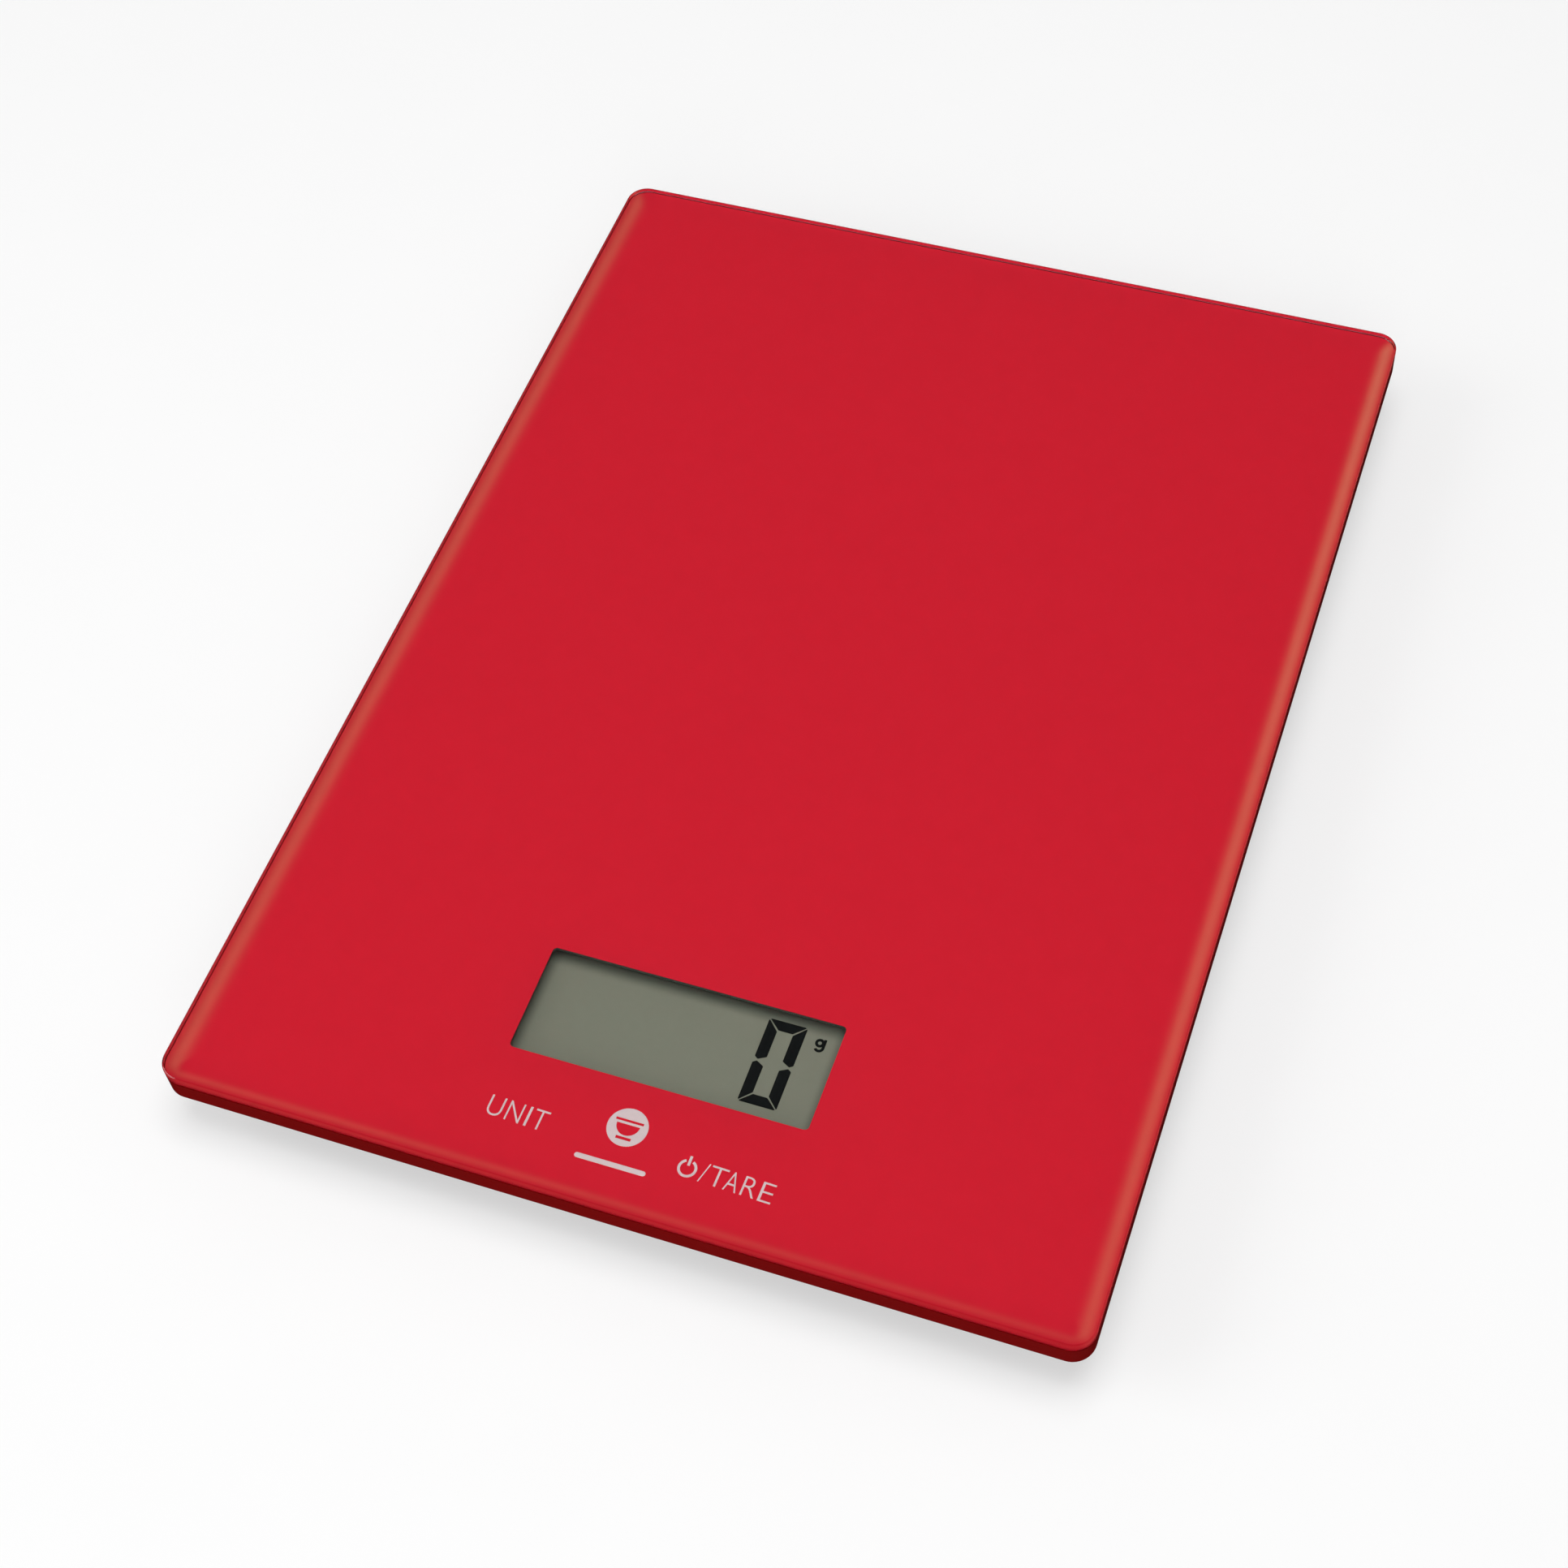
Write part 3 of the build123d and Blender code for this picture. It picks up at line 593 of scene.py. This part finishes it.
reflector = Finish("reflector_film")
sheen = reflector.cloud(0.0007, 2.0, (1, 8, 1))
reflector.done(
    reflector.surface(
        reflector.blend(sheen, (0.42, 0.44, 0.37), (0.5, 0.52, 0.45)), 0.35 + sheen * 0.15,
        Metallic=0.6,
    )
)
wear("display_reflector", reflector.material)

# ---------------------------------------------------------------------------------------
# Foam pieces: the gasket round the display and the acrylic tape that bonds the glass.
# Both are die-cut from closed-cell foam, so their faces are full of fine pores.
foam = Finish("black_foam")
pores = foam.node(
    "ShaderNodeTexVoronoi", {}, {"Vector": foam.place(), "Scale": 1 / (0.25 * MM)}
)
foam.done(
    foam.surface(
        foam.blend(pores, (0.012, 0.012, 0.012), (0.035, 0.035, 0.034)),
        0.85,
        Normal=foam.bump(pores, 0.08 * MM),
    )
)
wear("display_gasket", foam.material)
wear("glass_tape", foam.material)

# ---------------------------------------------------------------------------------------
# Platform tray: glossy dark red ABS, injection moulded. Round the display window it is
# dark grey-green: a black mask, and painted shade in the recess. The base's matt shell, the cap and
# the feet come from like tools.


def moulded(name, colour, gloss, grain_size, grain_depth, tint=0.12, shine=0.5, mask=None):
    """Moulded plastic: flow marks in the colour, a spark-eroded grain and scuffed gloss."""
    finish = Finish(name)
    flow = finish.cloud(0.03, 2.0)
    grain = finish.cloud(grain_size, 4.0)
    scuff = finish.cloud(0.006, 6.0, (1, 0.25, 1))
    light = tuple(min(channel * (1 + tint), 1) for channel in colour)
    dark = tuple(channel * (1 - tint) for channel in colour)
    paint = finish.blend(flow, dark, light)
    if mask:
        # Where a mask is given, the colour turns dark grey-green there: painted shade in the
        # display recess.
        paint = finish.blend(mask(finish), paint, (0.065, 0.072, 0.062))
    rough = gloss + (scuff - 0.5) * 0.14 + (grain - 0.5) * 0.08
    relief = finish.bump(grain, grain_depth)
    finish.done(finish.surface(paint, rough, Normal=relief, Specular_IOR_Level=shine))
    return finish.material


def window_mask_painted_shade(finish):
    """1 within the display window's walls, where the tray is painted dark grey-green: a black mask
    and painted shade.
    """
    margin = 2 * MM
    x, y, z = finish.along()
    inside_x = abs(x - window_x) < window_half[0] + margin
    inside_y = abs(y - window_y) < window_half[1] + margin
    return inside_x * inside_y


wear(
    "platform_tray",
    moulded(
        "tray_plastic",
        (0.185, 0.0008, 0.0009),
        0.32,
        0.4 * MM,
        0.004 * MM,
        shine=0.06,
        mask=window_mask_painted_shade,
    ),
)

# ---------------------------------------------------------------------------------------
# Circuit board: green solder mask over copper on glass-epoxy laminate, with the chip
# bonded under black epoxy, a clock crystal and rows of chip components.
board = Finish("board_laminate")
tracks = board.node(
    "ShaderNodeTexBrick",
    {"offset": 0.37},
    {
        "Vector": board.place(),
        "Scale": 1.0,
        "Mortar Size": 0.18 * MM,
        "Brick Width": 4.1 * MM,
        "Row Height": 1.3 * MM,
        "Color1": (0, 0, 0, 1),
        "Color2": (0, 0, 0, 1),
        "Mortar": (1, 1, 1, 1),
    },
    out=1,
)
weave = board.cloud(0.0005, 2.0)
mask_green = board.blend(weave, (0.010, 0.085, 0.030), (0.014, 0.11, 0.040))
board.done(
    board.surface(
        board.blend(tracks * 0.6, mask_green, (0.05, 0.22, 0.09)),
        0.32 + weave * 0.1,
        Normal=board.bump(tracks, 0.03 * MM),
    )
)
wear("circuit_board", board.material)

epoxy = Finish("black_epoxy")
ripple = epoxy.cloud(0.002)
epoxy.done(
    epoxy.surface(
        epoxy.blend(ripple, (0.006, 0.006, 0.007), (0.012, 0.012, 0.013)),
        0.22 + ripple * 0.2,
        Normal=epoxy.bump(ripple, 0.1 * MM),
    )
)
wear("chip_blob", epoxy.material)

chips = Finish("ceramic_chips")
x, y, z = chips.along()
terminal = ((x * (1 / (4 * MM))).maths("FRACT") - 0.5).maths("ABSOLUTE").between(0.12, 0.2)
body_tone = chips.blend(chips.cloud(0.0008), (0.20, 0.13, 0.08), (0.30, 0.20, 0.13))
chips.done(chips.surface(chips.blend(terminal, body_tone, (0.55, 0.55, 0.53)), 0.4))
wear("small_components", chips.material)

# ---------------------------------------------------------------------------------------
# Metal pieces: plated spring contacts and coils, the crystal's can, zinc-plated screws,
# the stamped load cells and the coin cell's nickel-plated can.


def metal(name, colour, rough, brush=(1, 1, 1), brush_size=0.0008, tarnish=0.15, bare=1.0):
    """Plated or rolled metal: brushed streaks along one way, with duller, tinted patches.
    Bare is 1 for clean metal and less under a coat of lacquer."""
    finish = Finish(name)
    streak = finish.cloud(brush_size, 4.0, brush)
    patch = finish.cloud(0.006, 3.0)
    dull = tuple(channel * (1 - tarnish) for channel in colour)
    paint = finish.blend(patch, colour, dull)
    roughness = rough + (streak - 0.5) * 0.2 + (patch - 0.5) * 0.12
    finish.done(
        finish.surface(
            paint, roughness, Metallic=bare, Normal=finish.bump(streak, 0.01 * MM)
        )
    )
    return finish.material


plated = metal("plated_metal", (0.78, 0.77, 0.73), 0.25, (1, 6, 1))
for node_name in (
    "unit_touch_spring",
    "tare_touch_spring",
    "battery_contact_positive",
    "battery_contact_negative",
    "clock_crystal",
):
    wear(node_name, plated)
zinc = metal("screw_steel", (0.60, 0.60, 0.62), 0.32)
wear("base_screws", zinc)
wear("board_screws", zinc)
rolled = metal("load_cell_steel", (0.56, 0.55, 0.53), 0.35, (12, 1, 1), tarnish=0.25)
wear("coin_cell", metal("cell_steel", (0.72, 0.72, 0.71), 0.22, (1, 9, 1), 0.0006))

# ---------------------------------------------------------------------------------------
# Load cells: stamped spring-steel plates in the four corners. White silicone seals the
# gauge on each tongue's root, and a sleeved lead runs from it to the board.
sealant = Finish("gauge_sealant")
lump = sealant.cloud(0.0015)
sealant.done(
    sealant.surface(
        sealant.blend(lump, (0.62, 0.62, 0.59), (0.78, 0.78, 0.75)),
        0.45 + lump * 0.15,
        Normal=sealant.bump(lump, 0.15 * MM),
    )
)


def sleeve(name, colour):
    """Extruded PVC sleeve: fine lines along it, and a slightly waxy gloss."""
    finish = Finish(name)
    lines = finish.cloud(0.0004, 2.0, (6, 1, 1))
    pale = tuple(min(channel * 1.25 + 0.002, 1) for channel in colour)
    finish.done(
        finish.surface(
            finish.blend(lines, colour, pale), 0.38 + lines * 0.12,
            Normal=finish.bump(lines, 0.02 * MM),
        )
    )
    return finish.material


black_sleeve = sleeve("black_lead", (0.014, 0.014, 0.015))
for corner in ("front_left", "front_right", "back_left", "back_right"):
    wear(f"load_cell_{corner}", rolled)
    wear(f"strain_gauge_{corner}", sealant.material)
    wear(f"load_cell_lead_{corner}", black_sleeve)
wear("battery_lead_negative", black_sleeve)
wear("battery_lead_positive", sleeve("red_lead", (0.42, 0.012, 0.010)))

# ---------------------------------------------------------------------------------------
# Inner mouldings: the display's white holder, the battery's black one and the striped
# silicone strip that joins the display glass to the board.
fine_grain, fine_depth = 0.3 * MM, 0.01 * MM
holder_white, holder_black = (0.72, 0.72, 0.70), (0.03, 0.03, 0.031)
wear("display_holder", moulded("white_plastic", holder_white, 0.45, fine_grain, fine_depth, 0.04))
wear("battery_holder", moulded("holder_plastic", holder_black, 0.45, fine_grain, fine_depth))

strip = Finish("strip_rubber")
x, y, z = strip.along()
stripe = ((x * (1 / (0.4 * MM))).maths("FRACT") - 0.5).maths("ABSOLUTE") > 0.25
strip.done(strip.surface(strip.blend(stripe, (0.55, 0.56, 0.58), (0.02, 0.02, 0.02)), 0.6))
wear("contact_strip", strip.material)

# ---------------------------------------------------------------------------------------
# Base cover and battery cap: dark grey ABS with an even spark-eroded grain. The cap
# turns in the base with a coin. A blank foil plate fills the recess in the base.
grain_size = 0.35 * MM
grain_depth = 0.03 * MM
wear("base_cover", moulded("base_plastic", (0.036, 0.036, 0.038), 0.55, grain_size, grain_depth))
wear("battery_cap", moulded("cap_plastic", (0.036, 0.036, 0.038), 0.5, grain_size, grain_depth))

base_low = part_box("base_cover")[0]
plate_centre = (0, -28 * MM)
foil = metal("foil_plate", (0.66, 0.66, 0.66), 0.38, (14, 1, 1), 0.0009, 0.06, bare=0.3)
foil_levels = [
    (0.1 * MM, base_low[2] + 0.18 * MM),
    (0, base_low[2] + 0.22 * MM),
    (0, base_low[2] + 0.3 * MM),
]
plate_width, plate_depth, plate_corner = 63.2 * MM, 35.2 * MM, 2.1 * MM
points, faces = slab(plate_width, plate_depth, plate_corner, foil_levels, plate_centre, steps=8)
foil_plate = skin("foil_plate", points, faces, foil)

# ---------------------------------------------------------------------------------------
# Feet: a dark grey cup on a snap-in stem, and a black rubber pad with ring treads set
# into it. Each cup hangs on the end of its load cell's tongue.
cup_plastic = moulded("foot_plastic", (0.030, 0.030, 0.032), 0.42, grain_size, 0.015 * MM)
rubber = Finish("foot_rubber")
bloom = rubber.cloud(0.004, 4.0)
pebble = rubber.cloud(0.00025, 3.0)
rubber.done(
    rubber.surface(
        rubber.blend(bloom, (0.012, 0.012, 0.012), (0.026, 0.025, 0.024)),
        0.68 + bloom * 0.15,
        Normal=rubber.bump(pebble, 0.02 * MM),
    )
)


def lathed(name, profile, centre, material, body, steps=72):
    """A turned piece: each (radius, height) of the profile, from the axis below round to
    the axis above, carried round the centre."""
    radius, height = np.asarray(profile, float).T
    angle = np.linspace(0, 2 * np.pi, steps, endpoint=False)
    rings = []
    for ring_radius, ring_height in zip(radius, height):
        around = np.column_stack([np.cos(angle), np.sin(angle)]) * ring_radius + centre
        rings.append(np.column_stack([around, np.full(steps, ring_height)]))
    points, faces = stacked_rings(rings)
    return skin(name, points, faces, material, body)


def tread(reach, height, ridges, depth):
    """The pad's profile: a flat middle, then round-topped ridges, then a rounded rim."""
    inner = 3.2 * MM
    middle = [(0.4 * MM, 0), (inner, 0)]
    spread = np.linspace(0, 1, ridges * 10 + 1)
    wave = depth * np.sin(np.pi * ridges * spread) ** 2
    ribs = np.column_stack([inner + (reach - 0.9 * MM - inner) * spread, wave])[1:]
    rim = [(reach - 0.45 * MM, 0.05 * MM), (reach - 0.12 * MM, 0.25 * MM), (reach, 0.6 * MM)]
    crown = [(reach, height - 0.1 * MM), (reach - 0.1 * MM, height), (0.4 * MM, height)]
    return np.concatenate([middle, ribs, rim, crown])


for corner in ("front_left", "front_right", "back_left", "back_right"):
    wear(f"foot_cup_{corner}", cup_plastic)
    pad_low, pad_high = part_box(f"foot_pad_{corner}")
    pad_centre = ((pad_low[0] + pad_high[0]) / 2, (pad_low[1] + pad_high[1]) / 2)
    pad_reach = (pad_high[0] - pad_low[0]) / 2
    profile = tread(pad_reach, pad_high[2], 4, 0.45 * MM)
    pad = lathed(f"ringed_pad_{corner}", profile, pad_centre, rubber.material, "scale_body")
    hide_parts(f"foot_pad_{corner}")

# ---------------------------------------------------------------------------------------
# Studio: a pale matt floor that gives off a little light, so that shadows stay light, and
# three soft boxes: overhead, to the left and in front. From below, the floor is clear.
floor_size = 6.0
floor_mesh = bpy.data.meshes.new("floor")
half = floor_size / 2
floor_mesh.from_pydata(
    [(-half, -half, 0), (half, -half, 0), (half, half, 0), (-half, half, 0)], [], [(0, 1, 2, 3)]
)
floor = bpy.data.objects.new("floor", floor_mesh)
bpy.context.collection.objects.link(floor)
paper = Finish("floor_paper")
fibre = paper.cloud(0.02)
lit_paper = paper.surface(
    paper.blend(fibre, (0.47, 0.47, 0.47), (0.48, 0.48, 0.48)),
    0.9,
    Emission_Color=(1, 1, 1, 1),
    Emission_Strength=0.46,
)
from_below = paper.node("ShaderNodeNewGeometry", out="Backfacing")
see_through = paper.node("ShaderNodeBsdfTransparent")
paper.done(paper.node("ShaderNodeMixShader", {}, {0: from_below, 1: lit_paper, 2: see_through}))
floor_mesh.materials.append(paper.material)
floor.visible_glossy = False


def soft_box(name, place, aim, size, watts):
    """A square area light at a place, facing its aim."""
    lamp = bpy.data.lights.new(name, "AREA")
    lamp.shape = "SQUARE"
    lamp.size = size
    lamp.energy = watts
    holder = bpy.data.objects.new(name, lamp)
    holder.location = place
    holder.rotation_euler = (Vector(aim) - Vector(place)).to_track_quat("-Z", "Y").to_euler()
    bpy.context.collection.objects.link(holder)


soft_box("overhead_box", (0.10, -0.05, 1.3), (0, 0, 0), 0.7, 9.6)
soft_box("left_box", (-1.25, -0.6, 0.9), (0, 0, 0), 1.0, 8.6)
soft_box("front_box", (0.5, -1.5, 0.9), (0, 0, 0), 1.0, 7.4)

sky_floor, sky_full = 0.15, 1.0
mirror_light, soft_light = 0.055, 0.3
world = bpy.data.worlds.new("studio_air")
bpy.context.scene.world = world
world.use_nodes = True
air = world.node_tree
air.nodes.clear()
seen = air.nodes.new("ShaderNodeBackground")
seen.inputs["Color"].default_value = (0.93, 0.93, 0.93, 1)
ambient = air.nodes.new("ShaderNodeBackground")
ambient.inputs["Color"].default_value = (1, 1, 1, 1)
direction = air.nodes.new("ShaderNodeTexCoord")
height = air.nodes.new("ShaderNodeSeparateXYZ")
sky_fade = air.nodes.new("ShaderNodeMapRange")
sky_fade.inputs["From Min"].default_value = -0.05
sky_fade.inputs["From Max"].default_value = 0.15
sky_fade.inputs["To Min"].default_value = sky_floor
sky_fade.inputs["To Max"].default_value = sky_full
air.links.new(direction.outputs["Generated"], height.inputs[0])
air.links.new(height.outputs["Z"], sky_fade.inputs["Value"])
by_ray = air.nodes.new("ShaderNodeLightPath")
level = air.nodes.new("ShaderNodeMapRange")
level.inputs["To Min"].default_value = mirror_light
level.inputs["To Max"].default_value = soft_light
air.links.new(by_ray.outputs["Is Diffuse Ray"], level.inputs["Value"])
strength = air.nodes.new("ShaderNodeMath")
strength.operation = "MULTIPLY"
air.links.new(sky_fade.outputs[0], strength.inputs[0])
air.links.new(level.outputs[0], strength.inputs[1])
air.links.new(strength.outputs[0], ambient.inputs["Strength"])
by_eye = air.nodes.new("ShaderNodeLightPath")
either = air.nodes.new("ShaderNodeMixShader")
out = air.nodes.new("ShaderNodeOutputWorld")
air.links.new(by_eye.outputs["Is Camera Ray"], either.inputs[0])
air.links.new(ambient.outputs[0], either.inputs[1])
air.links.new(seen.outputs[0], either.inputs[2])
air.links.new(either.outputs[0], out.inputs[0])
bpy.context.scene.view_settings.view_transform = "Standard"
